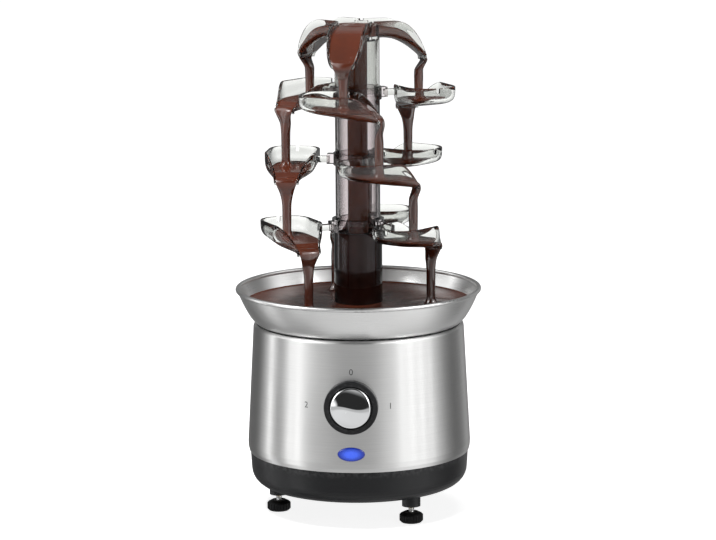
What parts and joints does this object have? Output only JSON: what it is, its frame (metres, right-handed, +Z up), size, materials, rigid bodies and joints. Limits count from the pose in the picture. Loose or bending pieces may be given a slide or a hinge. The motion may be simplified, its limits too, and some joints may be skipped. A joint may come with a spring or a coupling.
{
  "type": "chocolate fountain",
  "caption": "Home chocolate fountain: a steel-cased heated bowl on levelling feet, a clear tower of stepped spoon cups over it, and an auger that lifts the chocolate to a crown of chutes.",
  "frame": {"origin": "on the floor under the tower axis", "axes": "+Z up along the tower, -Y to the front with the knob"},
  "size_m": [0.209, 0.209, 0.4186],
  "materials": {
    "black_plastic": "fine moulded texture",
    "brushed_steel": "brushed round the axis",
    "satin_steel": "satin spun",
    "rubber": "matte",
    "chrome": "bright plated",
    "plated_steel": "zinc plated",
    "brass": "turned",
    "aluminium": "cast, machined face",
    "heater_steel": "heat darkened",
    "ivory_plastic": "moulded",
    "blue_lens": "translucent, lit from behind",
    "clear_plastic": "clear moulded",
    "auger_plastic": "moulded, coated with chocolate",
    "chocolate": "warm liquid, wet gloss"
  },
  "bodies": {
    "base": {"base_pan": "black_plastic", "knob_bezel": "black_plastic", "rotary_switch": "black_plastic", "housing": "brushed_steel", "bowl": "satin_steel", "bowl_gasket": "rubber", "shaft_seal": "rubber", "cord_gland": "rubber", "motor": "plated_steel", "gearbox": "plated_steel", "motor_bracket": "plated_steel", "motor_posts": "plated_steel", "bracket_screws": "plated_steel", "base_screws": "plated_steel", "thermal_fuse": "plated_steel", "shaft_bush": "brass", "foot_inserts": "brass", "switch_nut": "brass", "heater_plate": "aluminium", "heater_element": "heater_steel", "thermostat": "ivory_plastic", "terminal_block": "ivory_plastic", "indicator_lamp": "ivory_plastic", "indicator_lens": "blue_lens", "lower_tube": "clear_plastic", "middle_tube": "clear_plastic", "upper_tube": "clear_plastic", "riser_tube": "clear_plastic", "crown": "clear_plastic", "upper_cup_1": "clear_plastic", "upper_cup_2": "clear_plastic", "upper_cup_3": "clear_plastic", "middle_cup_1": "clear_plastic", "middle_cup_2": "clear_plastic", "middle_cup_3": "clear_plastic", "lower_cup_1": "clear_plastic", "lower_cup_2": "clear_plastic", "lower_cup_3": "clear_plastic", "chocolate_pool": "chocolate", "chocolate_column": "chocolate", "chocolate_crown_run": "chocolate", "chocolate_upper_run": "chocolate", "chocolate_middle_run": "chocolate", "chocolate_lower_run": "chocolate"},
    "auger": {"auger": "auger_plastic", "drive_coupling": "ivory_plastic", "drive_shaft": "plated_steel"},
    "knob": {"knob": "chrome", "knob_spindle": "plated_steel"},
    "foot_1": {"foot_pad_1": "rubber", "foot_stud_1": "chrome"},
    "foot_2": {"foot_pad_2": "rubber", "foot_stud_2": "chrome"},
    "foot_3": {"foot_pad_3": "rubber", "foot_stud_3": "chrome"}
  },
  "joints": [
    {"name": "auger_spin", "type": "hinge", "parent": "base", "child": "auger", "pos_m": [0, 0, 0.2], "axis": [0, 0, 1], "continuous": true},
    {"name": "knob_turn", "type": "hinge", "parent": "base", "child": "knob", "pos_m": [0, -0.0945, 0.1076], "axis": [0, -1, 0], "range_deg": [-180, 0]},
    {"name": "foot_1_height", "type": "slide", "parent": "base", "child": "foot_1", "axis": [0, 0, 1], "range_m": [-0.008, 0.0045]},
    {"name": "foot_2_height", "type": "slide", "parent": "base", "child": "foot_2", "axis": [0, 0, 1], "range_m": [-0.008, 0.0045]},
    {"name": "foot_3_height", "type": "slide", "parent": "base", "child": "foot_3", "axis": [0, 0, 1], "range_m": [-0.008, 0.0045]}
  ]
}
